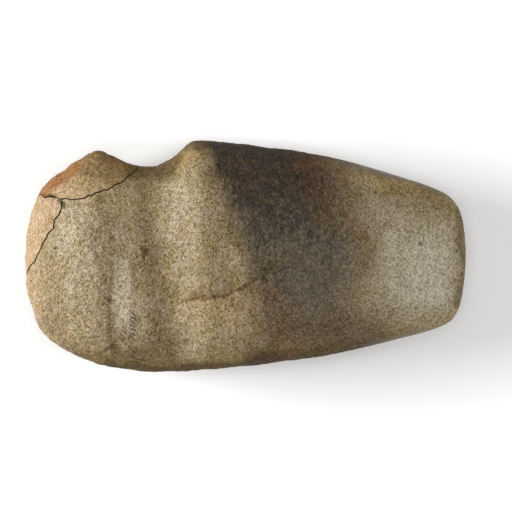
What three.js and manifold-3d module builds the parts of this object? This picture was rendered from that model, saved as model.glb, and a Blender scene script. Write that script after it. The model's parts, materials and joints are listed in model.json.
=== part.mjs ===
// A three-quarter grooved stone axe head, lying on one broad face.
// Millimetres, +Z up. The poll, or hammer end, is at -X and the cutting edge, or bit, at +X.
// The groove for the haft crosses both broad faces and the upper edge (+Y). The lower edge (-Y) has none.
// Two pieces broke off the corner of the poll and have been put back.

import * as THREE from 'three';
import { mergeVertices } from 'three/addons/utils/BufferGeometryUtils.js';
import Module from 'manifold-3d';

const wasm = await Module();
wasm.setup();

// Driving dimensions
const LENGTH = 200;
const RIM_HEIGHT = 30.8;          // height of the outline above the surface that the axe lies on
const SPINE_Y = -0.92;            // the spine runs from the middle of the poll to the middle of the bit

// The outline seen from above, as [distance from the poll end, distance from the spine].
const UPPER_EDGE = [
  [0, 0], [0.8, 11], [4, 24.8], [11.2, 35.2], [19.8, 41.6], [27, 46.4], [33, 48.5], [39.2, 46.4],
  [46, 43], [51, 41.9], [57, 41.9], [62, 42.9], [67, 45.6], [72, 50.5], [77, 53.4], [97, 51.6],
  [134, 46.6], [170, 36.8], [186, 31.5], [193.5, 27], [198.3, 18.6], [LENGTH, 0],
];
const LOWER_EDGE = [
  [0, 0], [0.8, -13], [4.6, -28.4], [9.5, -36], [19.8, -43.2], [38, -49.8], [65, -52],
  [97, -49.4], [134, -44.8], [170, -36.8], [188.5, -31.4], [195, -26.8], [198.4, -17.8], [LENGTH, 0],
];

// How far the upward face stands above the rim along the spine, before the groove was pecked into it.
const CROWN = [
  [0, 0], [1.2, 8.6], [5, 17], [12, 24], [22, 28.8], [38, 31.4], [80, 32], [100, 31.2],
  [120, 28.9], [140, 25.2], [165, 18.2], [188, 8.5], [196, 4.1], [199.2, 1.8], [LENGTH, 0],
];
const BACK_SHARE = { atPoll: 0.97, atBit: 1.05 };   // the face that it lies on, as a share of the upward one

// Cross-section: a superellipse, fuller along the lower edge, which was dressed flat for the haft's wedge.
const UPPER_FULLNESS = 2.4;
const LOWER_FULLNESS = 3;

// The groove across each face: its depth, and the distance from the poll end where its poll ridge, its floor
// and its blade shoulder meet the upper edge and the lower edge. They run a little askew of the spine.
const GROOVE_DEPTH = { atUpper: 6, atLower: 4.6 };
const GROOVE_HOLLOWNESS = { pollBank: 1.15, bladeBank: 1.5 };   // 1 is a straight bank
const POLL_RIDGE = { atUpper: 31, atLower: 35 };
const GROOVE_FLOOR = { atUpper: 54, atLower: 62 };
const BLADE_SHOULDER = { atUpper: 80, atLower: 84.5 };

// Two flats on the edges: the haft seats in the groove, and its wedge bears on the lower edge.
const SEAT = { from: 50.5, to: 61, belowEdge: 0.5 };
const WEDGE_FLAT_CUT = 0.4;

// The two breaks as they cross the upward face, as [x, y] from the middle of the axe. The first and the
// last point are outside the axe, and so are the surround's, which close the outline of what broke off.
// lean is how far the break moves from the rim to the back, and gap is how far it stands open.
const CORNER_BREAK = {
  start: [-118, 30],
  line: [[-93.6, 27.4], [-86.4, 25.6], [-78, 24.4], [-70.6, 26.2], [-61.6, 30], [-55, 33.4], [-49.4, 38.4]],
  end: [-46, 46],
  surround: [[-44, 80], [-118, 80]],
  lean: new THREE.Vector2(1.5, -6),
  gap: [0.12, -0.36, 0],
};
const EDGE_BREAK = {
  start: [-81.4, 36],
  line: [[-81.4, 24.6], [-82.4, 20.6], [-85.2, 14.9], [-90, 5.4], [-94.8, -3.2], [-98, -7.8]],
  end: [-107, -22],
  surround: [[-118, -22], [-118, 36]],
  lean: new THREE.Vector2(5, -2),
  gap: [0.36, -0.12, 0],
};
const BREAK_HEIGHTS = { from: -4, to: 68 };   // a break is drawn from under the axe to above it
const BREAK_BOW = 0.35;                       // how hollow the broken faces are, as a share of their lean
const BREAK_WAVES = [{ size: 0.24, rate: 1.1, phase: 0 }, { size: 0.16, rate: 2.3, phase: 1 }];

// Fineness of the facets
const END_LENGTH = 12;            // the rounded ends have closer ribs
const END_RIBS = 7;
const RIB_SPACING = 3.4;
const RIB_POINTS = 52;
const CURVE_SAMPLES = 600;
const BREAK_SPACING = 2;
const BREAK_LEVELS = 5;           // from under the axe to its rim

const curveThrough = (points) => new THREE.SplineCurve(points.map(([x, y]) => new THREE.Vector2(x, y)));

// Reads a smooth curve through the points, at any distance from the poll end.
function profile(points) {
  const samples = curveThrough(points).getPoints(CURVE_SAMPLES);
  return (x) => {
    const next = Math.max(1, samples.findIndex((point) => point.x >= x));
    const before = samples[next - 1];
    const after = samples[next];
    return THREE.MathUtils.mapLinear(x, before.x, after.x, before.y, after.y);
  };
}

const upperEdge = profile(UPPER_EDGE);
const lowerEdge = profile(LOWER_EDGE);
const frontCrown = profile(CROWN);
const backShare = (x) => THREE.MathUtils.lerp(BACK_SHARE.atPoll, BACK_SHARE.atBit, x / LENGTH);
const backCrown = (x) => frontCrown(x) * backShare(x);
const widestUp = Math.max(...UPPER_EDGE.map(([, y]) => y));
const widestDown = Math.min(...LOWER_EDGE.map(([, y]) => y));
const seatHeight = upperEdge((SEAT.from + SEAT.to) / 2) - SEAT.belowEdge;
const wedgeFlat = widestDown + WEDGE_FLAT_CUT;

// Distances from the poll end at which the axe is sliced: closer together round both ends.
function ribDistances() {
  const ends = Array.from({ length: END_RIBS }, (_, i) => {
    const turn = ((i + 1) / END_RIBS) * (Math.PI / 2);
    return END_LENGTH * (1 - Math.cos(turn));
  });
  const middle = LENGTH - 2 * END_LENGTH;
  const steps = Math.round(middle / RIB_SPACING);
  const between = Array.from({ length: steps - 1 }, (_, i) => END_LENGTH + ((i + 1) * middle) / steps);
  return [...ends, ...between, ...ends.map((x) => LENGTH - x).reverse()];
}

// Depth of the groove in a face, at x from the poll end and y from the spine.
function faceGroove(x, y) {
  const across = THREE.MathUtils.mapLinear(y, widestUp, widestDown, 0, 1);
  const here = ({ atUpper, atLower }) => THREE.MathUtils.lerp(atUpper, atLower, across);
  const floor = here(GROOVE_FLOOR);
  const bank = here(x < floor ? POLL_RIDGE : BLADE_SHOULDER);
  const hollowness = x < floor ? GROOVE_HOLLOWNESS.pollBank : GROOVE_HOLLOWNESS.bladeBank;
  const share = Math.abs((x - floor) / (bank - floor));
  return share < 1 ? here(GROOVE_DEPTH) * (1 - share ** hollowness) : 0;
}

// One slice through the axe: a closed ring of points in the plane at x from the poll end.
function rib(x) {
  return Array.from({ length: RIB_POINTS }, (_, i) => {
    const turn = (i / RIB_POINTS) * 2 * Math.PI;
    const across = Math.cos(turn);
    const above = Math.sin(turn);
    const power = 2 / (across > 0 ? UPPER_FULLNESS : LOWER_FULLNESS);
    const edge = across > 0 ? upperEdge(x) : lowerEdge(x);
    const crown = above > 0 ? frontCrown(x) : -backCrown(x);
    const y = Math.abs(across) ** power * edge;
    const z = Math.abs(above) ** power * (crown - Math.sign(crown) * faceGroove(x, y));
    const seated = x > SEAT.from && x < SEAT.to ? Math.min(y, seatHeight) : y;
    return new THREE.Vector3(x - LENGTH / 2, Math.max(seated, wedgeFlat) + SPINE_Y, z + RIM_HEIGHT);
  });
}

// Triangles between rings of equal count, turned so that the surface faces outwards.
function ringFaces(ringCount, pointCount, at) {
  const faces = [];
  for (let ring = 0; ring + 1 < ringCount; ring += 1) {
    for (let i = 0; i < pointCount; i += 1) {
      const j = (i + 1) % pointCount;
      faces.push(at(ring, i), at(ring, j), at(ring + 1, i));
      faces.push(at(ring, j), at(ring + 1, j), at(ring + 1, i));
    }
  }
  return faces;
}

function geometryOf(points, faces) {
  const geometry = new THREE.BufferGeometry().setFromPoints(points);
  geometry.setIndex(faces);
  return geometry;
}

// The whole axe as a skin over its ribs, closed by one point at each end.
function axeSkin() {
  const ribs = ribDistances().map(rib);
  const last = ribs.length - 1;
  const pollEnd = new THREE.Vector3(-LENGTH / 2, SPINE_Y, RIM_HEIGHT);
  const bitEnd = new THREE.Vector3(LENGTH / 2, SPINE_Y, RIM_HEIGHT);
  const points = [...ribs.flat(), pollEnd, bitEnd];
  const at = (ring, i) => ring * RIB_POINTS + i;
  const faces = ringFaces(ribs.length, RIB_POINTS, at);
  for (let i = 0; i < RIB_POINTS; i += 1) {
    const j = (i + 1) % RIB_POINTS;
    faces.push(points.length - 2, at(0, j), at(0, i));
    faces.push(points.length - 1, at(last, i), at(last, j));
  }
  return geometryOf(points, faces);
}

// Closed solid between outlines that lie at rising heights and have the same number of points.
function stackedBlock(outlines, heights) {
  const count = outlines[0].length;
  const raised = (outline, height) => outline.map((p) => new THREE.Vector3(p.x, p.y, height));
  const points = outlines.flatMap((outline, k) => raised(outline, heights[k]));
  const at = (level, i) => level * count + i;
  const faces = ringFaces(outlines.length, count, at);
  const top = outlines.length - 1;
  for (const [a, b, c] of THREE.ShapeUtils.triangulateShape(outlines[0], [])) {
    faces.push(at(0, c), at(0, b), at(0, a));
  }
  for (const [a, b, c] of THREE.ShapeUtils.triangulateShape(outlines[top], [])) {
    faces.push(at(top, a), at(top, b), at(top, c));
  }
  return geometryOf(points, faces);
}

// The ragged line of a break on the upward face.
function raggedLine(points) {
  const curve = curveThrough(points);
  const count = Math.round(curve.getLength() / BREAK_SPACING);
  return curve.getSpacedPoints(count).map((point, i) => {
    const along = i * BREAK_SPACING;
    const tangent = curve.getTangentAt(i / count);
    const waves = BREAK_WAVES.map(({ size, rate, phase }) => size * Math.sin(rate * along + phase));
    const sway = waves.reduce((sum, wave) => sum + wave, 0);
    return new THREE.Vector2(point.x - tangent.y * sway, point.y + tangent.x * sway);
  });
}

// Everything on the broken side of a break, out past the axe: straight down from the upward face to the rim,
// and leaning from there to the back.
function brokenSide({ start, line, end, surround, lean }) {
  const onFace = [new THREE.Vector2(...start), ...raggedLine(line), new THREE.Vector2(...end)];
  const rises = Array.from({ length: BREAK_LEVELS + 1 }, (_, k) => k / BREAK_LEVELS);
  const outlines = rises.map((rise) => {
    const depth = 1 - rise;
    const shift = lean.clone().multiplyScalar(depth + 4 * BREAK_BOW * depth * rise);
    const outline = onFace.map((p) => p.clone().add(shift));
    outline.push(...surround.map(([x, y]) => new THREE.Vector2(x, y)));
    return THREE.ShapeUtils.isClockWise(outline) ? outline.reverse() : outline;
  });
  const heights = rises.map((rise) => THREE.MathUtils.lerp(BREAK_HEIGHTS.from, RIM_HEIGHT, rise));
  return solidOf(stackedBlock([...outlines, outlines.at(-1)], [...heights, BREAK_HEIGHTS.to]));
}

function solidOf(geometry) {
  geometry.deleteAttribute('normal');
  geometry.deleteAttribute('uv');
  const merged = mergeVertices(geometry);
  return new wasm.Manifold(new wasm.Mesh({
    numProp: 3,
    vertProperties: new Float32Array(merged.attributes.position.array),
    triVerts: new Uint32Array(merged.index.array),
  }));
}

function meshOf(name, solid, color, roughness) {
  const { vertProperties, triVerts } = solid.getMesh();
  const geometry = new THREE.BufferGeometry();
  geometry.setAttribute('position', new THREE.BufferAttribute(vertProperties, 3));
  geometry.setIndex(new THREE.BufferAttribute(triVerts, 1));
  geometry.computeVertexNormals();
  const material = new THREE.MeshStandardMaterial({ color, roughness, metalness: 0 });
  const mesh = new THREE.Mesh(geometry, material);
  mesh.name = name;
  return mesh;
}

// The surface under the axe planes a small flat on its back.
function restingSurface() {
  const slab = new THREE.BoxGeometry(2 * LENGTH, 2 * LENGTH, RIM_HEIGHT);
  slab.translate(0, 0, -RIM_HEIGHT / 2);
  return solidOf(slab);
}

const wholeAxe = solidOf(axeSkin()).subtract(restingSurface());
const cornerSide = brokenSide(CORNER_BREAK);
const edgeSide = brokenSide(EDGE_BREAK);
const cornerFragment = wholeAxe.intersect(cornerSide);
const withoutCorner = wholeAxe.subtract(cornerSide.translate(CORNER_BREAK.gap));
const edgeFragment = withoutCorner.intersect(edgeSide);
const axeBody = withoutCorner.subtract(edgeSide.translate(EDGE_BREAK.gap));

const axe = new THREE.Group();
axe.add(meshOf('axe_body', axeBody, 0x8f8268, 0.7));
axe.add(meshOf('poll_corner_fragment', cornerFragment, 0x9a7c55, 0.75));
axe.add(meshOf('poll_edge_fragment', edgeFragment, 0xcbb088, 0.8));

export default axe;
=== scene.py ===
# %% [markdown]
# A grooved axe head of pecked and polished stone
#
# The real axe head is one cobble of speckled diorite, 200 mm long. Its maker knocked it to shape with a
# hammerstone, pecked a groove for a bent wooden haft, and ground and polished the cutting edge. Later the
# corner of the poll broke off in two pieces, which have been put back.
#
# The solids already hold the size, the outline and the breaks. This lesson makes the skin of the stone:
# one whole axe head first, with its dents, step and seam, then the breaks through it, and then the
# colours.

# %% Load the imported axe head
import json

import bpy
import numpy as np
from mathutils import Matrix, Vector, noise
from mathutils.bvhtree import BVHTree

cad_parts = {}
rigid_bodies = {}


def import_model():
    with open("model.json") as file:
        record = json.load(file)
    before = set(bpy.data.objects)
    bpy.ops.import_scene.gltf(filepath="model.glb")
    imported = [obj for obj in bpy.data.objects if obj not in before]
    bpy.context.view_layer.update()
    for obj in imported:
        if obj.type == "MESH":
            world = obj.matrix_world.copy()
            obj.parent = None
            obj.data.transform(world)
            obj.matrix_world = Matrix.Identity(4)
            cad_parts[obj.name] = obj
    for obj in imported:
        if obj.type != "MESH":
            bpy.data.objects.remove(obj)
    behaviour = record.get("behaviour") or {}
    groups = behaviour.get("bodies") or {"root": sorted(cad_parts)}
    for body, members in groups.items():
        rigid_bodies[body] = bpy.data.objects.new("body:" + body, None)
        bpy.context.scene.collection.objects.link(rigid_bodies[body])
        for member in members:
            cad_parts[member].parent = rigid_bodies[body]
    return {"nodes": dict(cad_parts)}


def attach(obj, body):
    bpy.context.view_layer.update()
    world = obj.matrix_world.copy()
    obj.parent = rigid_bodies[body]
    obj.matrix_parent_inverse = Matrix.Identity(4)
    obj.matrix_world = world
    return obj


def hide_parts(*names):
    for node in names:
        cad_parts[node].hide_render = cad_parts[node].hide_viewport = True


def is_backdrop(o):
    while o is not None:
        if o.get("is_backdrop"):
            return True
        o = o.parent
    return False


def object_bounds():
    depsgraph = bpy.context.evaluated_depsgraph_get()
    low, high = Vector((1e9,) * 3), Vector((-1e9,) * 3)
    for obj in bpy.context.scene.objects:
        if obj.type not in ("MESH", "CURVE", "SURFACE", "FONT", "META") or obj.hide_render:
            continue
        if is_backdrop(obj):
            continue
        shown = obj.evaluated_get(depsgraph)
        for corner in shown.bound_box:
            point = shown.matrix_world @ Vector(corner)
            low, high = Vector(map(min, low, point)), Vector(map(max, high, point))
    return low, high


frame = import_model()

MM = 0.001
cad_low, cad_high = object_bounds()
size_mm = [round(side / MM, 1) for side in cad_high - cad_low]
print("axe head, mm:", size_mm)

# %% [markdown]
# Working copies
#
# The three solids stay as they are, because they carry the weight and the collisions. The look is
# modelled on copies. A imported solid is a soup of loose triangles, so each copy is merged first.

# %% Copy a solid and merge its corners
BODY, CORNER, EDGE = "axe_body", "poll_corner_fragment", "poll_edge_fragment"
WELD = 0.001 * MM


def only(thing):
    """Selects one object and makes it the active one."""
    bpy.ops.object.select_all(action="DESELECT")
    thing.select_set(True)
    bpy.context.view_layer.objects.active = thing


def placed(name, data):
    """A new object in the scene, with this mesh, lamp or camera."""
    thing = bpy.data.objects.new(name, data)
    bpy.context.scene.collection.objects.link(thing)
    return thing


def merged_copy(node, name):
    """A copy of a solid whose triangles share their corners."""
    copy = placed(name, frame["nodes"][node].data.copy())
    only(copy)
    bpy.ops.object.mode_set(mode="EDIT")
    bpy.ops.mesh.select_all(action="SELECT")
    bpy.ops.mesh.remove_doubles(threshold=WELD)
    bpy.ops.object.mode_set(mode="OBJECT")
    return copy


copies = {node: merged_copy(node, "copy_of_" + node) for node in (BODY, CORNER, EDGE)}
for node, copy in copies.items():
    print(node, len(copy.data.vertices), "vertices after merging")

# %% [markdown]
# Three helpers
#
# All vertices of a mesh are read and moved at once, since a loop over 100,000 of them is slow. Each
# modifier is applied as soon as it is added, so that the next step works on the real mesh.

# %% Read vertices, move them, and apply a modifier
def rows_of(thing, kind):
    """Every vertex's place in metres ("co") or its outward direction ("normal"), as rows of x, y, z."""
    flat = np.empty(len(thing.data.vertices) * 3, np.float32)
    thing.data.vertices.foreach_get(kind, flat)
    return flat.reshape(-1, 3).astype(float)


def put_points(thing, points):
    """Moves every vertex of a mesh."""
    thing.data.vertices.foreach_set("co", points.astype(np.float32).ravel())
    thing.data.update()


def finish_with(thing, kind, **settings):
    """Adds a modifier with its settings and applies it."""
    modifier = thing.modifiers.new(kind.title(), kind)
    for key, value in settings.items():
        setattr(modifier, key, value)
    only(thing)
    bpy.ops.object.modifier_apply(modifier=modifier.name)


print("height of the body, mm:", round(rows_of(copies[BODY], "co")[:, 2].max() / MM, 1))

# %% [markdown]
# Closing the breaks
#
# Pecking and grinding were done long before the poll broke, so the skin has to run across the breaks. The
# whole stone is made first. Each fragment's broken face is pushed just past the face it broke from, and
# the three are joined by a boolean. Filling the gaps with a remesh alone would leave a furrow along each
# break.

# %% Find the nearest place on another piece
def surface_of(thing):
    """A search tree over the faces of a mesh."""
    return BVHTree.FromPolygons(
        [v.co for v in thing.data.vertices], [tuple(f.vertices) for f in thing.data.polygons]
    )


def nearest_on(trees, point, reach):
    """The nearest place on any of several surfaces, or None."""
    hits = [tree.find_nearest(point, reach) for tree in trees]
    hits = [hit for hit in hits if hit[0] is not None]
    return min(hits, key=lambda hit: hit[3])[0] if hits else None


surfaces = {node: surface_of(copy) for node, copy in copies.items()}


def other_surfaces(node):
    """The surfaces of the pieces that a piece broke from."""
    return [tree for name, tree in surfaces.items() if name != node]


print("surfaces that face the body's breaks:", len(other_surfaces(BODY)))

# %% Push the broken faces together and join the three
BREAK_REACH = 0.75 * MM        # a vertex nearer than this to another piece lies on a broken face
OVERLAP = 1.35                 # how far a broken face moves, in widths of the gap


def pushed_together(node):
    """A copy of a fragment whose broken faces reach into its neighbours."""
    piece = merged_copy(node, "closed_" + node)
    moved = rows_of(piece, "co")
    for i, point in enumerate(moved):
        place = nearest_on(other_surfaces(node), Vector(point), BREAK_REACH)
        if place is not None:
            moved[i] = point + (np.array(place) - point) * OVERLAP
    put_points(piece, moved)
    return piece


whole = merged_copy(BODY, "whole_stone")
for node in (CORNER, EDGE):
    closed = pushed_together(node)
    finish_with(whole, "BOOLEAN", operation="UNION", solver="MANIFOLD", object=closed)
    bpy.data.objects.remove(closed)
print("whole stone:", len(whole.data.polygons), "faces")

# %% [markdown]
# An even skin
#
# The solids have facets 3 to 6 mm long. A voxel remesh gives the skin faces of one size, fine enough for
# every dent that shows, and a smoothing pass takes the facets away. A subdivision surface would follow
# the long thin triangles along the breaks. Smoothing draws the stone in a little, so it is stretched back
# to its measured size.

# %% Remesh, smooth and restore the size
SKIN_FACE = 0.84 * MM
SMOOTH_ROUNDS = 24

finish_with(whole, "REMESH", mode="VOXEL", voxel_size=SKIN_FACE, adaptivity=0.0)
finish_with(whole, "SMOOTH", factor=0.5, iterations=SMOOTH_ROUNDS)

skin = rows_of(whole, "co")
low, high = skin.min(0), skin.max(0)
skin = (skin - low) / (high - low) * (np.array(cad_high) - np.array(cad_low)) + np.array(cad_low)
put_points(whole, skin)
print("skin:", len(skin), "vertices; drawn in by, mm:", np.round(size_mm - (high - low) / MM, 2))

# %% [markdown]
# Dents, step and seam
#
# A pecked surface is made by thousands of light blows. Each leaves a round dent 2 to 3 mm wide, and
# together they leave a gentle unevenness. The bit was ground smooth afterwards. A Displace modifier could
# push the skin in and out with one texture, but every mark here has its own place, so the vertices are
# moved in code, as with a sculptor's brush. Places are in mm from the middle of the axe head: X towards the
# bit, Y towards the grooved edge. Blender's noise gives ripples, and its Voronoi cells give round dents.
# Each seed reads the pattern at another place, so that no two layers look alike.

# %% Fades, ripples and dents
RIPPLE_STEP = (17.3, 9.1, 5.7)
DIMPLE_STEP = (3.9, 7.7, 1.3)
DENT_REACH = 0.62              # radius of a dent, in widths of its cell


def fade(value, start, end):
    """0 before start, 1 after end, and smooth in between. Start may be past end."""
    share = np.clip((value - start) / (end - start), 0, 1)
    return share * share * (3 - 2 * share)


def ripple(places, size, seed):
    """Smooth noise from -1 to 1 whose waves are about size mm long."""
    shift = Vector([seed * step for step in RIPPLE_STEP])
    return np.array([noise.noise(Vector(p) / size + shift) for p in places])


def dimples(places, size, seed):
    """Round dents side by side, size mm apart: 1 in the middle of a dent and 0 at its rim."""
    shift = Vector([seed * step for step in DIMPLE_STEP])
    reach = np.array([noise.voronoi(Vector(p) / size + shift)[0][0] for p in places])
    return np.clip(1 - (reach / DENT_REACH) ** 2, 0, 1)


print("a brush 10 mm wide, 0 to 10 mm from its middle:", fade(np.arange(0, 11, 2), 10, 0).round(2))

# %% [markdown]
# Paths on the face
#
# A seam or a stain follows a line across the stone. Each line is a path of a few places, and a brush has to
# know how far a vertex is from it, on which side, and how far along. A curve object could hold the path, but
# a list of places is easier to change.

# %% Brushes that follow a path
def from_path(places, path):
    """Each place's distance from a path, its side, how far along it is, and the path's length, in mm."""
    nearest = np.full(len(places), np.inf)
    side = np.zeros(len(places))
    along = np.zeros(len(places))
    passed = 0.0
    for start, end in zip(np.array(path[:-1], float), np.array(path[1:], float)):
        step = end - start
        length = np.linalg.norm(step)
        offset = places[:, :2] - start
        share = np.clip(offset @ step / length**2, 0, 1)
        gap = np.linalg.norm(offset - share[:, None] * step, axis=1)
        closer = gap < nearest
        nearest[closer] = gap[closer]
        side[closer] = np.sign(step[0] * offset[closer, 1] - step[1] * offset[closer, 0])
        along[closer] = passed + share[closer] * length
        passed += length
    return nearest, side, along, passed


def strokes(places, paths):
    """Several brush strokes together. Each is a path, its half width, its soft edge and its strength."""
    paint = np.zeros(len(places))
    for path, width, soft, strength in paths:
        paint = np.maximum(paint, strength * fade(from_path(places, path)[0], width + soft, width))
    return paint


beside = from_path(np.array([[4.0, 3.0, 0.0]]), [(0, 0), (10, 0)])
print("a place beside a path: its distance, mm:", beside[0][0], "and how far along, mm:", beside[2][0])

# %% [markdown]
# Where the marks are
#
# The step is the low ridge that crosses the poll's side of the groove, next to a strip that the haft
# rubbed smooth. The seam is a vein of softer stone that weathered out along a crooked line. The pits are
# grains that fell out. They could be scattered at random, but these marks tell this axe head from others,
# so each has its place.

# %% Step, seam, crack and pits
RIM_Z = 30.8
STEP_PATH = [(-59.6, 2), (-60.8, -8), (-61.8, -20), (-61.8, -32), (-60.6, -44)]
SEAM_PATH = [(-38, -20), (-26.5, -19.8), (-20, -18.6), (-16, -19.2), (-8.5, -17.6), (-4, -15.2),
             (-1.3, -14.6), (3.2, -11), (12, -8.2), (21, -4.3), (30, -2)]
SMALL_CRACK = [(-59.8, -40.0), (-62.4, -42.2), (-66.2, -44.4)]
# Each pit's place, its radius and its depth, in mm.
PITS = [(-46.3, 3.2, 1.3, 0.6), (-42.2, -0.4, 1.2, 0.5), (-45.0, 6.5, 0.9, 0.35), (-43.6, -17.7, 0.9, 0.4),
        (-26.9, -38.0, 1.0, 0.5), (-61.2, -20.2, 0.8, 0.4), (-60.2, -41.5, 1.4, 0.5),
        (-9.6, -18.6, 0.9, 0.5), (-6.2, -22.0, 1.0, 0.4), (8.0, -9.8, 1.3, 0.5), (-85.5, 3.4, 0.8, 0.3),
        (-59.9, 8.2, 0.8, 0.3), (-81.6, 23.0, 1.0, 0.6), (79, 5.5, 0.9, 0.3)]

print("pits:", len(PITS), "and length of the seam, mm:", round(from_path(np.zeros((1, 3)), SEAM_PATH)[3]))

# %% [markdown]
# Ground and worn places
#
# The bit was ground on a wet slab, so its pecking fades out over a few centimetres, along an uneven line.
# A straight mask would look like paint, so that line wanders. The haft rubbed a narrow strip half smooth.

# %% Where the stone is smooth
WORN = [([(-56, -6), (-56.2, -20), (-55.6, -32)], 2.4, 3.0, 0.6)]
POLISH_START = 50.0            # where the stone is half ground, in mm
POLISH_SOFT = 16.0
POLISH_WANDER, POLISH_WAVE = 8.0, 26.0
POLISH_SLANT = 0.12
# Between which heights above the rim the worn strip and the single marks begin, in mm.
WORN_HEIGHTS, MARK_HEIGHTS = (0, 10), (2, 12)


def on_front(places, start, end):
    """1 on the face that shows and 0 behind it. It fades between two heights, in mm above the rim."""
    return fade(places[:, 2], RIM_Z + start, RIM_Z + end)


def polish_at(places):
    """1 on the ground bit, 0 where the stone was only pecked, and between the two where the haft wore it."""
    edge = POLISH_START + POLISH_WANDER * ripple(places, POLISH_WAVE, 3) - POLISH_SLANT * places[:, 1]
    ground = fade(places[:, 0], edge - POLISH_SOFT, edge + POLISH_SOFT)
    return np.maximum(ground, on_front(places, *WORN_HEIGHTS) * strokes(places, WORN))


along_middle = np.array([[x, 0.0, RIM_Z] for x in (0, 30, 50, 70, 90)])
print("polish along the middle, 0 to 90 mm towards the bit:", polish_at(along_middle).round(2))

# %% [markdown]
# Pecking
#
# Four ripples of different lengths keep the skin from looking like any one of them. The dents lie over
# them, side by side, as the blows of the hammerstone did.

# %% The pecked skin
POLL_ROUGHER = 1.5             # how much more uneven the poll is
POLL_FROM = (-55, -70)         # where that starts, and where it is full
# Each ripple's height on ground stone, what pecking adds to it, its length and its seed, in mm.
RIPPLES = [(0.35, 0.0, 24, 1), (0.12, 0.3, 9, 2), (0.0, 0.15, 4.5, 9), (0.0, 0.17, 1.9, 5)]
DENT_DEPTH, DENT_SPACING = 0.22, 2.7
DENT_MEAN, DENT_SWING, DENT_PATCH = 0.6, 0.4, 6     # the dents are deeper in some patches than in others


def pecked_at(places):
    """Ripples and dents, in mm. The ground bit has only the long ripples."""
    rough = 1 - polish_at(places)
    uneven = rough * (1 + POLL_ROUGHER * fade(places[:, 0], *POLL_FROM))
    height = np.zeros(len(places))
    for ground, pecked, size, seed in RIPPLES:
        height += (ground + pecked * uneven) * ripple(places, size, seed)
    depth = DENT_DEPTH * rough * (DENT_MEAN + DENT_SWING * ripple(places, DENT_PATCH, 4))
    return height - depth * dimples(places, DENT_SPACING, 1)


print("dents:", DENT_SPACING, "mm apart and up to", DENT_DEPTH, "mm deep")

# %% [markdown]
# Single marks
#
# Each mark is a cross-section that follows its path: the step drops and slowly recovers, and the seam is a
# groove with crumbled sides. A cut with a boolean would have to be modelled for each of them.

# %% The step, the seam, the crack and the pits
STEP_DROP, STEP_WIDTH, STEP_RECOVERY = 0.62, 1.8, 10.0
STEP_START, STEP_END = 12, 3                     # it fades in and out over these
SEAM_DEPTH, SEAM_WIDTH = 0.45, 1.1
SEAM_MEAN, SEAM_SWING, SEAM_PATCH = 0.6, 0.9, 4  # it is open in some places and closed in others
CRUMBLE, CRUMBLE_WIDTH, CRUMBLE_SIZE = 0.3, 6, 2.5
LIP, LIP_WIDTH, LIP_START = 0.2, 5, 0.8          # the stone stands a little higher on one side of it
CRACK_DEPTH, CRACK_WIDTH = 0.35, 0.9
PIT_WOBBLE, PIT_WOBBLE_SIZE = 0.3, 1.5


def marks_at(places):
    """How far the step, the seam, the small crack and the pits stand out, in mm. They mostly lie deeper."""
    gap, side, along, length = from_path(places, STEP_PATH)
    right = np.where(side > 0, gap, 0)
    ends = fade(along, 0, STEP_START) * fade(along, length + STEP_END, length - STEP_END)
    height = -STEP_DROP * ends * fade(right, 0, STEP_WIDTH) * fade(right, STEP_RECOVERY, STEP_WIDTH)

    gap, side, _, _ = from_path(places, SEAM_PATH)
    broken = np.clip(SEAM_MEAN + SEAM_SWING * ripple(places, SEAM_PATCH, 6), 0, 1)
    height -= SEAM_DEPTH * broken * fade(gap, SEAM_WIDTH, 0)
    height -= CRUMBLE * fade(gap, CRUMBLE_WIDTH, 0) * ripple(places, CRUMBLE_SIZE, 7)
    height += LIP * (side > 0) * fade(gap, LIP_WIDTH, LIP_START)

    height -= CRACK_DEPTH * fade(from_path(places, SMALL_CRACK)[0], CRACK_WIDTH, 0)
    wobble = PIT_WOBBLE * ripple(places, PIT_WOBBLE_SIZE, 8)
    for x, y, radius, depth in PITS:
        reach = np.hypot(places[:, 0] - x, places[:, 1] - y) + wobble
        height -= depth * fade(reach, radius, 0)
    return height


print("depth of the step and of the seam, mm:", STEP_DROP, SEAM_DEPTH)

# %% Dent the skin
RESTING = 0.02 * MM            # a vertex lower than this lies on the ground
outward = rows_of(whole, "normal")
places = skin / MM
height = pecked_at(places) + on_front(places, *MARK_HEIGHTS) * marks_at(places)
dented = skin + outward * height[:, None] * MM
dented[:, 2] = np.where(skin[:, 2] < RESTING, skin[:, 2], np.maximum(dented[:, 2], 0))
put_points(whole, dented)
print("relief, mm: from", round(height.min(), 2), "to", round(height.max(), 2))

# %% [markdown]
# The breaks
#
# Each fragment is cut out of the whole stone with its own solid as the knife. The knife's outside is
# swollen so that it clears the dented skin, and its broken face is made ragged, since stone breaks from
# grain to grain. The knife could be a plain wedge, but then the break wouldn't run as in the solids.

# %% Make a knife from a fragment's solid
KNIFE_FACE = 0.8 * MM
SWELL = 2.5 * MM
ON_SKIN = 0.6 * MM
# Each ripple of the broken face: its height, its length and its seed, in mm.
RAGGED = [(0.16, 3.1, 11), (0.14, 1.3, 12)]
# Between the two fragments the break is more ragged. Each pair is where that starts and where it is full.
BETWEEN_ROUGHER, BETWEEN_X, BETWEEN_Y = 1.6, (-82, -87), (20, 24)
skin_surface = surface_of(whole)


def swollen(points):
    """The points of a knife, with those on or outside the skin moved outwards."""
    moved = points.copy()
    for i, point in enumerate(points):
        place, direction, _, distance = skin_surface.find_nearest(Vector(point))
        if distance < ON_SKIN or (Vector(point) - place).dot(direction) > 0:
            moved[i] = point + np.array(direction) * SWELL
    return moved


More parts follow.
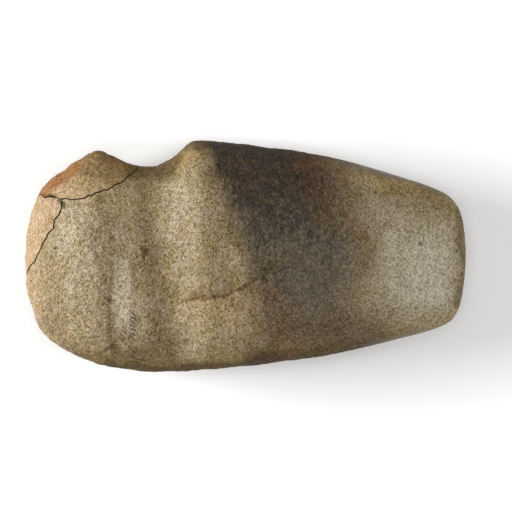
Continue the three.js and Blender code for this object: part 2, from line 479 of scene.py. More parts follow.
def knife(node):
    """A fragment's solid, swollen on the outside and ragged on its broken faces."""
    piece = merged_copy(node, "knife_" + node)
    put_points(piece, swollen(rows_of(piece, "co")))
    finish_with(piece, "REMESH", mode="VOXEL", voxel_size=KNIFE_FACE, adaptivity=0.0)
    places = rows_of(piece, "co") / MM
    ragged = sum(height * ripple(places, size, seed) for height, size, seed in RAGGED)
    ragged *= 1 + BETWEEN_ROUGHER * fade(places[:, 0], *BETWEEN_X) * fade(places[:, 1], *BETWEEN_Y)
    put_points(piece, (places + rows_of(piece, "normal") * ragged[:, None]) * MM)
    return piece


corner_knife, edge_knife = knife(CORNER), knife(EDGE)
print("faces of the two knives:", len(corner_knife.data.polygons), len(edge_knife.data.polygons))

# %% [markdown]
# Three pieces from one stone
#
# A fragment is what the knife and the stone share. The same knife, moved by the width of the break, cuts
# the place it came from, so the two faces match. Where two cuts meet, thin crumbs stay behind, loose in the
# break. They would be stray faces, so all that doesn't hang together with the bit is deleted.

# %% Cut the stone apart
CORNER_GAP = (0.18, -0.56, 0)  # how far the knives are moved, in mm
EDGE_GAP = (0.6, -0.22, 0)


def cut(thing, blade, operation, shift=(0, 0, 0)):
    """Cuts a mesh with a knife, which may first be moved by some mm."""
    blade.data.transform(Matrix.Translation(Vector(shift) * MM))
    finish_with(thing, "BOOLEAN", operation=operation, solver="MANIFOLD", object=blade)
    blade.data.transform(Matrix.Translation(Vector(shift) * -MM))


corner_piece = placed("poll_corner", whole.data.copy())
cut(corner_piece, corner_knife, "INTERSECT")
cut(whole, corner_knife, "DIFFERENCE", CORNER_GAP)
edge_piece = placed("poll_edge", whole.data.copy())
cut(edge_piece, edge_knife, "INTERSECT")
cut(whole, edge_knife, "DIFFERENCE", EDGE_GAP)
whole.name = "axe_head"
stones = {BODY: whole, CORNER: corner_piece, EDGE: edge_piece}
print("cut apart:", [stone.name for stone in stones.values()])

# %% Delete the crumbs and the tools
def drop_crumbs(thing):
    """Deletes all that doesn't hang together with the end towards the bit."""
    only(thing)
    bpy.ops.object.mode_set(mode="EDIT")
    bpy.ops.mesh.select_mode(type="VERT")
    bpy.ops.mesh.select_all(action="DESELECT")
    bpy.ops.object.mode_set(mode="OBJECT")
    thing.data.vertices[int(rows_of(thing, "co")[:, 0].argmax())].select = True
    bpy.ops.object.mode_set(mode="EDIT")
    bpy.ops.mesh.select_linked()
    bpy.ops.mesh.select_all(action="INVERT")
    bpy.ops.mesh.delete(type="VERT")
    bpy.ops.object.mode_set(mode="OBJECT")


before = len(whole.data.vertices)
drop_crumbs(whole)
print("vertices of loose crumbs deleted:", before - len(whole.data.vertices))
for blade in (corner_knife, edge_knife, *copies.values()):
    bpy.data.objects.remove(blade)
for stone in stones.values():
    print(stone.name, sum(len(f.vertices) - 2 for f in stone.data.polygons), "triangles")

# %% [markdown]
# Marks of age and use
#
# The colour of the real stone tells what it went through: a dark stain on the blade, rust on the broken
# corner, earth in every hollow, a bleached rim, and a pale shoulder that hands and the haft have rubbed.
# Painted shade darkens the steep edges, the groove and the step, painted light brightens the lower groove,
# and a painted highlight lies on the bit.
# A texture over the whole stone couldn't know their places. So each is painted into an attribute of the
# mesh, from 0 to 1, and the material turns it into colour. A stroke is a path in mm, its half width, its
# soft edge and its strength.

# %% Rubbed, bleached and ground places, painted light and a painted highlight
# Crest of the shoulder, strip that the haft wore, poll beside the breaks, and painted light on the lower
# groove.
PALE = [
    ([(-30, 31), (-29, 10)], 3, 8, 0.42),
    ([(-28, 12), (-26, -6), (-24.5, -30), (-23, -46)], 1.5, 7, 0.3),
    ([(-56.5, 14), (-56.5, 4)], 1, 6, 0.3),
    ([(-56, -2), (-56, -20), (-55.2, -30)], 1.8, 5, 0.62),
    ([(-68, 27), (-58, 25), (-46, 24)], 3, 7, 0.18),
    ([(-9, -2), (-3, -4)], 2, 5, 0.3),
    # Painted light: this stroke makes the lower groove paler, as the light falling there does.
    ([(-48, -22), (-48, -32)], 3, 6, 0.25),
    ([(-77, 20), (-81, 6)], 3, 7, 0.45),
    ([(-76, 2), (-74.5, -10)], 3, 8, 0.36),
    ([(-74, -16), (-74, -36)], 3, 7, 0.15),
]
# The worn rim at the end of the poll and beside the corner's break.
BLEACH = [
    ([(-99, -8), (-97, -16), (-94, -25)], 1, 5, 0.38),
    ([(-84, 28), (-77, 28)], 1.2, 4, 0.4),
]
# The ground blade, with a painted highlight where the lamp on the right shines on its gloss.
GROUND_HIGHLIGHT = [([(80, 0), (84, -9), (84, -16)], 3, 15, 0.75)]

print("strokes of pale stone:", len(PALE) + len(BLEACH) + len(GROUND_HIGHLIGHT))

# %% [markdown]
# Earth and painted shade
#
# Earth stays where nothing rubs it away. It could be spread by measuring how hollow the mesh is, but some
# hollows of the stone are clean and some flat places are dirty, so its strokes are listed one by one.

# %% Earth
# The groove and its dark spots, partly earth and partly painted shade, the shoulder's corner, the foot of
# the step, the blade beside the shoulder, a patch on the corner, and the lower and the right-hand edge. On
# the edges that turn away from the lamps, the upper, lower and right-hand ones and the shoulder's corner, it
# is painted shade.
SOIL_AND_SHADE_STROKES = [
    ([(-44, 34), (-44.5, 16), (-43, 2)], 1, 6, 0.32),
    ([(-42.5, 2), (-38, -14), (-37, -18)], 1.5, 6, 0.44),
    ([(-38, -18), (-36.5, -26), (-35.5, -34)], 1.5, 6, 0.4),
    ([(-36, -36), (-35, -48)], 3, 7, 0.5),
    ([(-46.4, 1.4), (-46, 0)], 0.7, 1.8, 0.9),
    ([(-42, -3), (-41, -6)], 1, 2.5, 0.6),
    ([(-50, 41), (-43, 39), (-35, 37.5), (-33.5, 42)], 2, 6.5, 0.72),
    ([(-82.4, 23.9), (-81.6, 22.6)], 0.5, 1.1, 1.0),
    ([(-92.5, 27.9), (-88.9, 26.6), (-85.3, 25.7)], 0.2, 0.9, 0.9),
    ([(66, 26), (78, 25), (90, 21)], 2, 8, 0.25),
    ([(-89, -24), (-85, -31)], 2, 6, 0.2),
    ([(-27, 50), (-18, 52)], 1.5, 3, 0.7),
    ([(-59, -41), (-58, -43)], 1, 2.6, 0.5),
    ([(-12, 32), (-12.5, 12), (-12.5, -10)], 4, 6, 0.25),
    ([(-75, 39), (-68, 38)], 2, 4, 0.4),
    ([(-86, 38.5), (-78, 43), (-70, 46)], 0.6, 2.6, 0.4),
    ([(-80, -42), (-66, -47.4)], 0.6, 3, 0.25),
    ([(-63, -48.3), (-60, -49.4), (-40, -51.6), (-10, -50.2), (15, -47)], 0.8, 4, 0.75),
    ([(-58, -44.5), (-50, -45.5), (-38, -46)], 1.5, 4.5, 0.45),
    ([(60, -20), (58, -28), (66, -29)], 3, 7, 0.16),
    ([(15, -47), (45, -42), (80, -34)], 0.8, 4, 0.4),
    ([(-21, -16.3), (-14, -16), (-7, -14.4)], 0.8, 3.5, 0.4),
    ([(-14, 31), (-8, 14), (-4, 3)], 0.5, 6, 0.2),
    ([(45, 44), (60, 40), (80, 34)], 0.8, 5, 0.75),
    ([(80, 34), (96, 24), (99.5, 0), (97, -22)], 0.4, 4, 0.6),
]

print("strokes of earth:", len(SOIL_AND_SHADE_STROKES))

# %% [markdown]
# Rust, ochre and painted shade
#
# Iron in the ground leaves a strong rust where it touched the stone and a thin ochre around it. Both are
# painted alike, and the material gives them their colours. On the edges the ochre paint is partly painted
# shade, which makes them darker and yellower.

# %% Rust, ochre and painted shade
# The corner's outer slope and knob, flecks in the top of the stain, its right-hand edge, beside the seam,
# a spot on the shoulder, and low on the blade.
RUST = [
    ([(-92, 29.2), (-89, 32.6), (-84, 36.2), (-78, 39.6)], 0.7, 3.8, 0.8),
    ([(-82, 37.6), (-75, 41.6)], 0.7, 4, 0.4),
    ([(-66, 45), (-57, 41)], 1, 6, 0.3),
    ([(24, 44), (34, 42)], 2, 5, 0.18),
    ([(34, 42), (40, 36), (44, 29)], 2, 5, 0.08),
    ([(32, 36), (31, 28), (34, 18)], 3, 6, 0.09),
    ([(46, 30), (50, 15), (54, 2)], 2, 7, 0.1),
    ([(-24, -18), (-16, -18), (-8, -16.8)], 1, 5, 0.18),
    ([(-27.5, 11), (-26.5, 9.5)], 0.6, 3, 0.3),
    ([(6, -36), (22, -37), (36, -35)], 5, 10, 0.12),
    ([(2, -20), (14, -25), (22, -30)], 4, 8, 0.12),
]
# The upper edge of the blade, under its right-hand corner, the shoulder's corner, the poll's upper side,
# and under the seam. Along the upper edge of the blade and on the shoulder's corner it is partly painted
# shade.
OCHRE_AND_SHADE_STROKES = [
    ([(44, 46), (60, 40), (74, 34)], 3, 11, 0.85),
    ([(74, 34), (92, 24)], 2, 10, 0.5),
    ([(-36, 44), (-30, 48), (-22, 50)], 1, 4, 0.4),
    ([(-70, 33), (-58, 26), (-46, 25)], 3, 8, 0.3),
    ([(-26, -22), (-18, -30), (-10, -26)], 4, 9, 0.22),
]

print("strokes of rust and of ochre:", len(RUST), len(OCHRE_AND_SHADE_STROKES))

# %% [markdown]
# The stain
#
# The blade took up a dark stain, perhaps from a binding or from peat. It lies like a band across the
# blade, sharper towards the shoulder than towards the bit, and darkest along the upper edge. A band
# between two crooked paths gives that with few points.

# %% The stain between its two edges
STAIN_LEFT = [(-21, 60), (-19.5, 50.6), (-17.5, 45), (-15, 37.6), (-12.6, 29.5), (-10, 21.4), (-7, 13.7),
              (-4, 5.6), (-2, -1), (-1, -8.7), (1, -17.7), (4, -26.7), (4, -35.7), (-2, -43.4), (-4, -60)]
STAIN_RIGHT = [(38, 60), (37, 48), (44, 41), (49, 31.7), (52.5, 22.7), (57.5, 13.7), (59.5, 4.7),
               (58.5, -2.9), (56.5, -8), (51.5, -15), (50.5, -20), (54.5, -26), (64, -31), (68, -37),
               (66, -60)]
STAIN_LEFT_FADE = (-7, 11)     # from outside its left edge to inside, in mm
STAIN_RIGHT_FADE = (-0.5, 1)   # the same for its right edge, in parts of its softness
# Its strength from the lower edge to the upper, and the softness of its right edge, each at a height Y.
STAIN_STRENGTH = [(-41, 0.5), (-34, 0.68), (-25, 0.7), (0, 0.76), (22, 1.0), (34, 1.12), (42, 1.45)]
STAIN_SOFTNESS = [(-10, 15), (10, 26), (25, 26), (36, 19)]
# The rubbed top of the stain, which has a soft gloss.
GLEAM = [([(6, 26), (20, 12), (34, -4), (30, -20)], 9, 12, 0.8)]


def stain_at(places):
    """The dark stain lies between its left and its right edge, fainter towards the lower edge."""
    gap, side, _, _ = from_path(places, STAIN_LEFT)
    inside = fade(gap * side, *STAIN_LEFT_FADE)
    gap, side, _, _ = from_path(places, STAIN_RIGHT)
    soft = np.interp(places[:, 1], *zip(*STAIN_SOFTNESS))
    inside *= fade(-gap * side / soft, *STAIN_RIGHT_FADE)
    return inside * np.interp(places[:, 1], *zip(*STAIN_STRENGTH))


print("strength of the stain in the middle of the blade:", stain_at(np.array([[25.0, 0, 0]])).round(2))

# %% [markdown]
# What strokes can't do
#
# Steep edges are darkened all round with painted shade, rust runs out in patches, and the hollows hold earth
# exactly where the relief is deep, with painted shade along the step. These follow the shape and not a
# brush.
# The places of all strokes are also shaken by a little noise, which gives each an uneven edge.

# %% Painted shade on the rim, patches and uneven edges
# The painted shade on the rim fades in from the end of the poll, between these two places.
RIM_SHADE_FROM, RIM_SHADE_FULL = -88, -64       # along X, in mm
BACK_RUST, RUST_HEIGHTS = 0.2, (8, 36)  # how much rust is on the back, and between which heights it grows
RUST_MEAN, RUST_SWING, RUST_PATCH = 0.92, 0.75, 7
# How far a place is shaken, the length of the waves and their seed beyond the axis's own, in mm.
SHAKES = [(2.6, 11, 0), (0.8, 3.5, 1)]
AXIS_SEEDS = {0: 21, 1: 23}


def rim_shade_at(places, outward, start, end):
    """Painted shade on the steep edges, which turn away from the lamps. It fades out at the lit end of the
    poll.
    """
    return fade(np.abs(outward[:, 2]), start, end) * fade(places[:, 0], RIM_SHADE_FROM, RIM_SHADE_FULL)


def patchy_at(places):
    """Rust runs out in patches, and little of it reaches the back."""
    reaches = BACK_RUST + (1 - BACK_RUST) * fade(places[:, 2], *RUST_HEIGHTS)
    return reaches * np.clip(RUST_MEAN + RUST_SWING * ripple(places, RUST_PATCH, 25), 0, 1)


def unsettled(places):
    """The same places, shaken a little."""
    shaken = places.copy()
    for axis, seed in AXIS_SEEDS.items():
        for reach, size, further in SHAKES:
            shaken[:, axis] += reach * ripple(places, size, seed + further)
    return shaken


moved = unsettled(places[::1000]) - places[::1000]
print("strokes are shaken by up to, mm:", np.abs(moved).max().round(1))

# %% Earth in the hollows, and painted shade along the step
# How much earth each holds, or painted shade along the step, and how it fades from beside the mark to its
# middle, in mm.
SEAM_EARTH, SEAM_FADE = 0.15, (1.5, 0.2)
STEP_SHADE, STEP_FADE = 0.2, (1.6, 0)
CRACK_EARTH, CRACK_FADE = 0.6, (1.0, 0.2)
PIT_EARTH, PIT_SPILL, PIT_HEART = 0.8, 0.8, 0.3
# The middle of the seam holds more, between a start and an end along it.
SEAM_MORE, SEAM_START, SEAM_END = 0.6, (8, 16), (60, 40)
SEAM_WOBBLE, SEAM_WAVE = 1.0, 3
STEP_WOBBLE, STEP_WAVE = 0.6, 4


def hollow_earth_and_step_shade_at(places, front):
    """Earth in the seam, the small crack and the pits, and painted shade along the step."""
    gap, _, along, _ = from_path(places, SEAM_PATH)
    seam = SEAM_EARTH + SEAM_MORE * fade(along, *SEAM_START) * fade(along, *SEAM_END)
    seam *= fade(gap + SEAM_WOBBLE * ripple(places, SEAM_WAVE, 31), *SEAM_FADE)
    gap = from_path(places, STEP_PATH)[0] + STEP_WOBBLE * ripple(places, STEP_WAVE, 32)
    # Painted shade along the step.
    step = STEP_SHADE * fade(gap, *STEP_FADE)
    crack = CRACK_EARTH * fade(from_path(places, SMALL_CRACK)[0], *CRACK_FADE)
    pits = []
    for x, y, radius, _ in PITS:
        reach = np.hypot(places[:, 0] - x, places[:, 1] - y)
        pits.append(PIT_EARTH * fade(reach, radius + PIT_SPILL, PIT_HEART * radius))
    return front * np.maximum.reduce([seam, step, crack, *pits])


print("most earth in a hollow:", hollow_earth_and_step_shade_at(places, on_front(places, *MARK_HEIGHTS)).max().round(2))

# %% [markdown]
# Painting the three pieces
#
# The strokes belong to the face that shows. Some carry on over the back, where they are fainter, as stains
# on a buried stone are. Vertices away from the old skin are marked as broken stone, and those along its
# lip are half marked, because earth and old glue sit there.

# %% Find the broken faces
ON_SKIN_LIMIT = 0.05 * MM


def broken_at(thing):
    """1 on the faces of a break, 0.5 along its lip and 0 on the old skin."""
    gaps = [skin_surface.find_nearest(v.co)[3] for v in thing.data.vertices]
    inner = np.array(gaps) > ON_SKIN_LIMIT
    ends = np.empty(len(thing.data.edges) * 2, int)
    thing.data.edges.foreach_get("vertices", ends)
    first, second = ends.reshape(-1, 2).T
    lip = np.zeros(len(inner), bool)
    lip[first[inner[second]]] = True
    lip[second[inner[first]]] = True
    return np.where(inner, 1.0, np.where(lip, 0.5, 0.0))


broken = {node: broken_at(stone) for node, stone in stones.items()}
print("share of broken stone:", {node: round(share.mean(), 2) for node, share in broken.items()})

# %% [markdown]
# All the paints together
#
# Every paint is worked out for each piece and stored under its name, also the pen's two rows.

# %% Store a paint
BACK_FAINTER, FRONT_HEIGHTS = 0.55, (-14, -2)
PEN_HEIGHTS = (0, 5)
# How strong the painted shade on the steep edges is, and between which levels it fades in, in earth and in
# ochre.
RIM_SHADE_SHARE, STEEP_EDGE_SHADE, STEEP_EDGE_OCHRE_SHADE = 0.7, (0.6, 0.15), (0.92, 0.5)   # how level the skin is, from 0 to 1
GROUND_SHARE, GROUND_FROM = 0.4, (0.5, 1)
FLECKED_FROM = (4, 34)
PEN = [([(-50.9, -27.2), (-50.9, -36.8)], 0.9, 0.7, 1.0), ([(-55, -33), (-55, -38.6)], 0.8, 0.7, 1.0)]


def put_paint(thing, name, paint):
    """Stores a mask on the vertices of a mesh."""
    layer = thing.data.attributes.new(name, "FLOAT", "POINT")
    layer.data.foreach_set("value", paint.astype(np.float32))


print("share of paint on the back:", BACK_FAINTER)

# %% Paint every mark into an attribute
for node, stone in stones.items():
    places = rows_of(stone, "co") / MM
    shaken = unsettled(places)
    outward = rows_of(stone, "normal")
    front = on_front(places, *FRONT_HEIGHTS)
    both = front + BACK_FAINTER * (1 - front)
    polish = polish_at(places)
    stain = both * stain_at(shaken)
    # Painted shade on the steep edges: darker in the colour of earth, yellower in that of ochre.
    rim_shade = RIM_SHADE_SHARE * rim_shade_at(places, outward, *STEEP_EDGE_SHADE)
    rim_ochre_shade = RIM_SHADE_SHARE * rim_shade_at(shaken, outward, *STEEP_EDGE_OCHRE_SHADE)
    paints = {
        # Earth paint also holds painted shade in the groove, along the step and on the steep edges.
        "soil_and_shade": np.maximum.reduce([hollow_earth_and_step_shade_at(places, front), rim_shade, both * strokes(shaken, SOIL_AND_SHADE_STROKES)]),
        # The ochre paint also holds painted shade on the steep edges and along the upper edge of the blade.
        "ochre_and_shade": np.maximum(rim_ochre_shade, strokes(shaken, OCHRE_AND_SHADE_STROKES)),
        # The ground paint is the bit's own greener colour, with a painted highlight on it.
        "ground": np.maximum(GROUND_SHARE * fade(polish, *GROUND_FROM), strokes(shaken, GROUND_HIGHLIGHT)),
        "pale": both * strokes(shaken, PALE),
        "rust": patchy_at(places) * strokes(shaken, RUST),
        "bleach": both * strokes(shaken, BLEACH),
        "stain": stain,
        "flecked": stain * fade(shaken[:, 1], *FLECKED_FROM),
        "polish": polish,
        "gloss": np.maximum(polish, front * strokes(shaken, GLEAM)),
        "pen": on_front(places, *PEN_HEIGHTS) * strokes(places, PEN),
        "broken": broken[node],
    }
    for name, paint in paints.items():
        put_paint(stone, name, paint)
    print(stone.name, "has", len(paints), "paints")

# %% [markdown]
# Diorite
#
# Diorite is an igneous stone of pale feldspar and dark hornblende, with grains under 1 mm here. Pecking
# leaves it matt and full of small bruises, and grinding leaves it smooth and a little glossy. To the eye
# it is a fine salt and pepper whose brightness changes from grain to grain, but hardly its colour.
#
# The grains are Voronoi cells, because each cell can draw its own luck, from dark to pale. A plain noise
# would give clouds.

# %% Colours, and a function that adds a node
def linear(code):
    """An sRGB hex colour as linear red, green, blue and alpha."""
    shares = [int(code[i : i + 2], 16) / 255 for i in (1, 3, 5)]
    return tuple(s / 12.92 if s <= 0.04045 else ((s + 0.055) / 1.055) ** 2.4 for s in shares) + (1.0,)


def add(tree, kind, feeds, **settings):
    """Adds a node. Settings are its own, and feeds are numbers, colours or sockets for its inputs."""
    node = tree.nodes.new("ShaderNode" + kind)
    for key, value in settings.items():
        setattr(node, key, value)
    for key, value in feeds.items():
        if isinstance(value, bpy.types.NodeSocket):
            tree.links.new(value, node.inputs[key])
        else:
            node.inputs[key].default_value = value
    return node


# The paints of earth and of ochre also carry painted shade, and the ground paint carries a painted highlight
# on the bit.
LAYERS = [("ground", "#978F76"), ("pale", "#A0957D"), ("ochre_and_shade", "#8A7345"), ("bleach", "#9C8469"),
          ("soil_and_shade", "#403015"), ("stain", "#2B241D"), ("rust", "#7C4E26")]
# Specks of iron in the bare stone, flecks of rust in the stain, and the inside of a break.
IRON_SPECK = "#8C6A40"
IRON_FLECK = "#6C5030"
BROKEN_COLOUR = "#3A2A1B"
print("rust flecks, linear:", [round(share, 3) for share in linear(IRON_FLECK)])

# %% [markdown]
# The grains
#
# Two sets of cells lie over each other: grains of 0.6 mm, and finer ones of 0.4 mm, which is as fine as
# the picture can show. A slow noise makes some patches richer in dark hornblende and some in pale
# feldspar.

# %% How bright each grain is
GRAIN = 0.62 * MM
FINE_GRAIN = 0.44 * MM
GRAIN_SWING = 0.74         # from the darkest grain to the palest, as a share of the stone's brightness
FINE_SWING = 0.84
PATCH_SWING = 0.5          # from a patch rich in hornblende to one rich in feldspar
GRAIN_GREY = 0.5           # how far a grain's own brightness is grey and not the stone's colour
ALONG = (1.0, 0.75, 1.0)   # grains and bruises are a little longer across the axe head than along it


def swing_of(tree, place, patches, strength):
    """How much brighter or darker each grain is than the stone, and its two lucks from 0 to 1."""
    cells = add(tree, "TexVoronoi", {"Vector": place, "Scale": 1 / GRAIN})
    luck = add(tree, "SeparateColor", {0: cells.outputs["Color"]})
    small = add(tree, "TexVoronoi", {"Vector": place, "Scale": 1 / FINE_GRAIN})
    small_luck = add(tree, "SeparateColor", {0: small.outputs["Color"]})
    middle = -0.5 * (strength * (GRAIN_SWING + FINE_SWING) + PATCH_SWING)
    swing = add(tree, "Math", {0: patches, 1: PATCH_SWING, 2: middle}, operation="MULTIPLY_ADD").outputs[0]
    fine = add(tree, "Math", {0: small_luck.outputs[0], 1: strength * FINE_SWING, 2: swing},
               operation="MULTIPLY_ADD").outputs[0]
    swing = add(tree, "Math", {0: luck.outputs[0], 1: strength * GRAIN_SWING, 2: fine},
                operation="MULTIPLY_ADD").outputs[0]
    return swing, luck.outputs[1], small_luck.outputs[1]


print("grains, mm:", round(GRAIN / MM, 2), "and", round(FINE_GRAIN / MM, 2))

# %% [markdown]
# The stone's colour
#
# The bare stone lies between an olive and a lilac grey, with small specks of iron. The paints are mixed
# over it in the order in which they came to the real stone. A paint could be one flat colour, but stains
# sink into some grains more than into others, so each is made stronger or weaker from grain to grain. The
# upper part of the stain is flecked with rust.

# %% The bare stone
MOTTLE = 5 * MM
GRAIN_HUE = 0.2            # how far a grain's luck moves it from olive to lilac
OLIVE_AT, LILAC_AT = 0.36, 0.84
SPECK = 3.2 * MM
SPECK_SHARE, SPECKS_FROM, SPECKS_FULL = 0.45, 0.52, 0.85   # a speck begins where its noise passes 0.52


def bare_stone(tree, place, olive, lilac, strength):
    """The stone's colour without its paints, the swing of its grains, and a luck from 0 to 1 for each."""
    mottle = add(tree, "TexNoise", {"Vector": place, "Scale": 1 / MOTTLE, "Detail": 3.0, "Roughness": 0.65})
    swing, luck, small_luck = swing_of(tree, place, mottle.outputs["Fac"], strength)
    hue = add(tree, "Math", {0: small_luck, 1: GRAIN_HUE, 2: mottle.outputs["Fac"]},
              operation="MULTIPLY_ADD").outputs[0]
    hue = add(tree, "MapRange", {"Value": hue, "From Min": OLIVE_AT, "From Max": LILAC_AT}).outputs[0]
    colour = add(tree, "Mix", {0: hue, 6: linear(olive), 7: linear(lilac)}, data_type="RGBA").outputs[2]
    specks = add(tree, "TexNoise", {"Vector": place, "Scale": 1 / SPECK, "Detail": 2.0}).outputs["Fac"]
    specks = add(tree, "MapRange", {"Value": specks, "From Min": SPECKS_FROM, "From Max": SPECKS_FULL,
                                    "To Max": SPECK_SHARE}).outputs[0]
    colour = add(tree, "Mix", {0: specks, 6: colour, 7: linear(IRON_SPECK)}, data_type="RGBA").outputs[2]
    return colour, swing, luck


print("olive and lilac patches, mm:", round(MOTTLE / MM), "and specks of iron, mm:", round(SPECK / MM, 1))

# %% Mix the paints over the stone
BREAK_UP_SIZE = 2.2 * MM
BREAK_UP = 0.22            # how unevenly the grains take up a paint
GRAIN_TAKES = 0.4          # how much of that is a grain's own luck
TAKES_LEAST, TAKES_MOST = 0.42, 0.98
FLECK = 2.4 * MM           # a fleck, with smaller ones around it
FLECK_SHARE, FLECKS_FROM, FLECKS_FULL = 0.36, 0.45, 0.75


def colour_of(tree, place, olive, lilac, strength):
    """The stone with every paint on it."""
    colour, swing, luck = bare_stone(tree, place, olive, lilac, strength)
    patches = add(tree, "TexNoise", {"Vector": place, "Scale": 1 / BREAK_UP_SIZE, "Detail": 2.0})
    uneven = add(tree, "Math", {0: luck, 1: GRAIN_TAKES, 2: patches.outputs["Fac"]},
                 operation="MULTIPLY_ADD").outputs[0]
    uneven = add(tree, "MapRange", {"Value": uneven, "From Min": TAKES_LEAST, "From Max": TAKES_MOST,
                                    "To Min": 1 - BREAK_UP, "To Max": 1 + BREAK_UP}).outputs[0]
    for name, paint in LAYERS:
        painted = add(tree, "Attribute", {}, attribute_name=name).outputs["Fac"]
        share = add(tree, "Math", {0: painted, 1: uneven}, operation="MULTIPLY", use_clamp=True).outputs[0]
        colour = add(tree, "Mix", {0: share, 6: colour, 7: linear(paint)}, data_type="RGBA").outputs[2]
    flecks = add(tree, "TexNoise", {"Vector": place, "Scale": 1 / FLECK, "Detail": 3.0,
                                    "Roughness": 0.8}).outputs["Fac"]
    flecks = add(tree, "MapRange", {"Value": flecks, "From Min": FLECKS_FROM, "From Max": FLECKS_FULL,
                                    "To Max": FLECK_SHARE}).outputs[0]
    flecked = add(tree, "Attribute", {}, attribute_name="flecked").outputs["Fac"]
    flecks = add(tree, "Math", {0: flecks, 1: flecked}, operation="MULTIPLY", use_clamp=True).outputs[0]
    colour = add(tree, "Mix", {0: flecks, 6: colour, 7: linear(IRON_FLECK)}, data_type="RGBA").outputs[2]
    grey = add(tree, "RGBToBW", {0: colour}).outputs[0]
    greyed = add(tree, "Mix", {0: GRAIN_GREY, 6: colour, 7: grey}, data_type="RGBA").outputs[2]
    return add(tree, "VectorMath", {0: greyed, 1: swing, 2: colour}, operation="MULTIPLY_ADD").outputs[0]


print("paints, from the first to the last:", [name for name, _ in LAYERS])

# %% [markdown]
# The stone's surface
#
# The mesh carries the dents that can be felt. What is finer than its faces, the small bruises and the
# grit, is left to a bump, which only turns the light. It fades out on the ground bit.

# %% Bruises and grit
PECK = 1.4 * MM
PECK_DEPTH = 0.12
BOWL_FLOOR, BOWL_RIM = 0.1, 0.6   # how far each is from the middle of a bruise, in its widths
GRIT = 0.8 * MM
GRIT_DEPTH = 0.3
GROUND_AWAY = 0.8                 # how much of both the grinding took away


def bump_of(tree, place):
    """Small bruises from pecking, and the grit of the grains, in mm. The bit was ground smooth."""
    pecks = add(tree, "TexVoronoi", {"Vector": place, "Scale": 1 / PECK}, feature="SMOOTH_F1")
    bowl = add(tree, "MapRange", {"Value": pecks.outputs["Distance"], "From Min": BOWL_FLOOR,
                                  "From Max": BOWL_RIM, "To Min": 0.0, "To Max": PECK_DEPTH},
               interpolation_type="SMOOTHSTEP")
    grit = add(tree, "TexNoise", {"Vector": place, "Scale": 1 / GRIT, "Detail": 2.0})
    rough = add(tree, "Math", {0: grit.outputs["Fac"], 1: GRIT_DEPTH, 2: bowl.outputs[0]},
                operation="MULTIPLY_ADD")
    polish = add(tree, "Attribute", {}, attribute_name="polish").outputs["Fac"]
    unground = add(tree, "Math", {0: polish, 1: -GROUND_AWAY, 2: 1.0}, operation="MULTIPLY_ADD")
    height = add(tree, "Math", {0: rough.outputs[0], 1: unground.outputs[0]}, operation="MULTIPLY")
    bump = add(tree, "Bump", {"Height": height.outputs[0], "Distance": MM, "Strength": 1.0})
    return bump.outputs["Normal"]


print("depth of a bruise and of the grit, mm:", PECK_DEPTH, GRIT_DEPTH)

# %% [markdown]
# The pen marks
#
# The strip that the haft wore smooth has two short rows of ink on it. Ink has no thickness to see, so it is
# colour only. The rows are painted on the mesh, and a wave across them gives short slanting strokes.

# %% Strokes of ink
INK_COLOUR = "#2F2C34"
INK_BEAT = 2.4 * MM            # from one stroke of the pen to the next
INK_WANDER = 5.0               # how unevenly they follow one another
INK_START, INK_FULL = 0.66, 0.8


def ink_of(tree, place):
    """Small slanting strokes across the painted rows. They aren't letters."""
    # A diagonal wave comes round once in pi / 5 of its own length.
    wave = add(tree, "TexWave", {"Vector": place, "Scale": np.pi / 5 / INK_BEAT, "Distortion": INK_WANDER,
                                 "Detail": 1.0, "Detail Scale": 1.5}, bands_direction="DIAGONAL")
    stroke = add(tree, "MapRange", {"Value": wave.outputs["Fac"], "From Min": INK_START,
                                    "From Max": INK_FULL}).outputs[0]
    rows = add(tree, "Attribute", {}, attribute_name="pen").outputs["Fac"]
    return add(tree, "Math", {0: stroke, 1: rows}, operation="MULTIPLY", use_clamp=True).outputs[0]


print("rows of ink:", len(PEN), "with a stroke each", round(INK_BEAT / MM, 1), "mm")

# %% [markdown]
# The three materials
#
# All three pieces are the same diorite, and only their history differs: the corner lay against something
# rusty, and the edge was bleached. So one recipe is used three times. Weathered stone is matt, with an
# IOR of about 1.55, and the ground blade and the rubbed top of the stain have a soft gloss.

# %% Make the three materials
MATT, GLOSSY = 0.95, 0.4
STONE_IOR = 1.55
PORE_SHARE = 0.2       # below 0.5, since light is lost in the pores of a matt stone


def diorite(name, olive, lilac, strength=1.0, penned=False):
    """Pecked, ground and stained diorite, between an olive and a lilac grey. Strength is its grains'."""
    material = bpy.data.materials.new(name)
    material.use_nodes = True
    tree = material.node_tree
    place = add(tree, "TexCoord", {}).outputs["Object"]
    grain_place = add(tree, "VectorMath", {0: place, 1: ALONG}, operation="MULTIPLY").outputs[0]
    colour = colour_of(tree, grain_place, olive, lilac, strength)
    if penned:
        ink = ink_of(tree, place)
        colour = add(tree, "Mix", {0: ink, 6: colour, 7: linear(INK_COLOUR)}, data_type="RGBA").outputs[2]
    broken = add(tree, "Attribute", {}, attribute_name="broken").outputs["Fac"]
    colour = add(tree, "Mix", {0: broken, 6: colour, 7: linear(BROKEN_COLOUR)}, data_type="RGBA").outputs[2]
    gloss = add(tree, "Attribute", {}, attribute_name="gloss").outputs["Fac"]
    shader = tree.nodes["Principled BSDF"]
    tree.links.new(colour, shader.inputs["Base Color"])
    rough = add(tree, "MapRange", {"Value": gloss, "To Min": MATT, "To Max": GLOSSY}).outputs[0]
    tree.links.new(rough, shader.inputs["Roughness"])
    tree.links.new(bump_of(tree, grain_place), shader.inputs["Normal"])
    shader.inputs["IOR"].default_value = STONE_IOR
    shader.inputs["Specular IOR Level"].default_value = PORE_SHARE
    return material


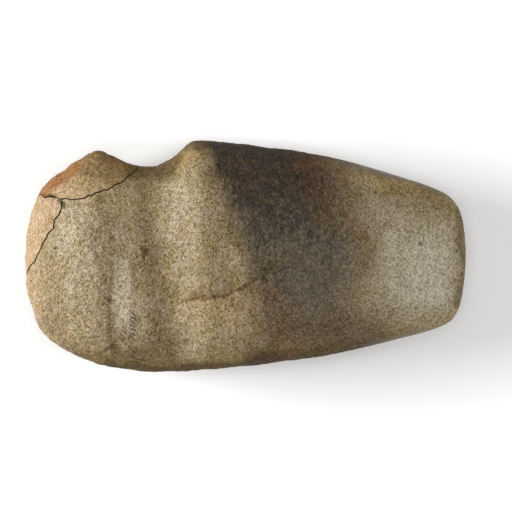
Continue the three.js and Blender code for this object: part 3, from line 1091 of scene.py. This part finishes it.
finishes = {
    BODY: diorite("pecked diorite", "#7A6D49", "#83725E", penned=True),
    CORNER: diorite("rust-stained diorite", "#80704C", "#8A6F52", 0.9),
    EDGE: diorite("bleached diorite", "#917E60", "#967E64", 0.75),
}
print("materials:", [material.name for material in finishes.values()])

# %% [markdown]
# Dressing the solids
#
# Each piece takes its material and soft shading, is attached to the root body, and its solid is hidden.

# %% Put the stone on each piece
SHARP_ANGLE = 1.0          # in radians: only the edges of the breaks are sharper than this
for node, stone in stones.items():
    stone.data.materials.clear()
    stone.data.materials.append(finishes[node])
    only(stone)
    bpy.ops.object.shade_smooth_by_angle(angle=SHARP_ANGLE)
    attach(stone, "root")
    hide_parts(node)
print("faces:", {stone.name: len(stone.data.polygons) for stone in stones.values()})

# %% [markdown]
# Floor
#
# The axe head lies on white paper. One plane is enough, far wider than the picture, so that its edge never
# shows.

# %% Floor
FLOOR_SIZE = 6.0           # in metres
PAPER, PAPER_MATT = "#EDEDED", 0.9
bpy.ops.object.select_all(action="DESELECT")
bpy.ops.mesh.primitive_plane_add(size=FLOOR_SIZE, location=(0, 0, 0))
floor = bpy.context.active_object
floor.name = "floor"
white = bpy.data.materials.new("white paper")
white.use_nodes = True
paper_shader = white.node_tree.nodes["Principled BSDF"]
paper_shader.inputs["Base Color"].default_value = linear(PAPER)
paper_shader.inputs["Roughness"].default_value = PAPER_MATT
floor.data.materials.append(white)
floor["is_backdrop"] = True
print("floor:", tuple(round(side, 1) for side in floor.dimensions), "m")

# %% [markdown]
# Lights
#
# The light falls low from the left, as from a window, and brings out the groove and every dent. A weaker
# lamp on the right opens the shadows, and one overhead gives the blade its gloss. Large area lamps make
# soft shadows, where a sun would make hard ones.

# %% Lights
DAYLIGHT = "#FFFFFF"
STUDIO_GLOW = 0.2          # how brightly the white room shines back


def soft_light(name, place, aim, size, power):
    """A square lamp, turned towards its aim. Its size is in metres and its power in watts."""
    light = bpy.data.lights.new(name, "AREA")
    light.size = size
    light.energy = power
    light.color = linear(DAYLIGHT)[:3]
    lamp = placed(name, light)
    lamp.location = place
    lamp.rotation_euler = (Vector(aim) - Vector(place)).to_track_quat("-Z", "Y").to_euler()
    return lamp


soft_light("window_left", (-1.45, 0.15, 0.62), (0, 0, 0), size=0.7, power=44)
soft_light("fill_right", (1.2, -0.16, 1.05), (0.08, 0, 0.03), size=0.5, power=13)
soft_light("overhead", (0.0, 0.0, 1.6), (0, 0, 0), size=0.5, power=6)
world = bpy.data.worlds.new("studio")
bpy.context.scene.world = world
world.use_nodes = True
backdrop = world.node_tree.nodes["Background"]
backdrop.inputs["Color"].default_value = linear(DAYLIGHT)
backdrop.inputs["Strength"].default_value = STUDIO_GLOW

# %% [markdown]
# Camera
#
# The photograph was taken from straight above with a long lens, so near and far parts keep their sizes.
# The camera hangs where its picture is 233 mm wide at the height of the rim.

# %% Camera
CAMERA_X, CAMERA_Y = 4.56 * MM, -0.2 * MM
FRAME_WIDTH = 233.26 * MM
LENS, SENSOR = 300, 36     # in mm
camera_data = bpy.data.cameras.new("camera")
camera_data.lens = LENS
camera_data.sensor_width = SENSOR
camera = placed("camera", camera_data)
camera.location = (CAMERA_X, CAMERA_Y, RIM_Z * MM + FRAME_WIDTH * LENS / SENSOR)
bpy.context.scene.camera = camera
bpy.context.scene.view_settings.view_transform = "Standard"
print("camera height, m:", round(camera.location.z, 2))

# %% [markdown]
# The last check
#
# The dents and the smoothing must not make the axe head larger than its solids. Both sizes are printed.

# %% Sizes
low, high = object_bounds()
print("visual model, mm:", [round(side / MM, 2) for side in high - low])
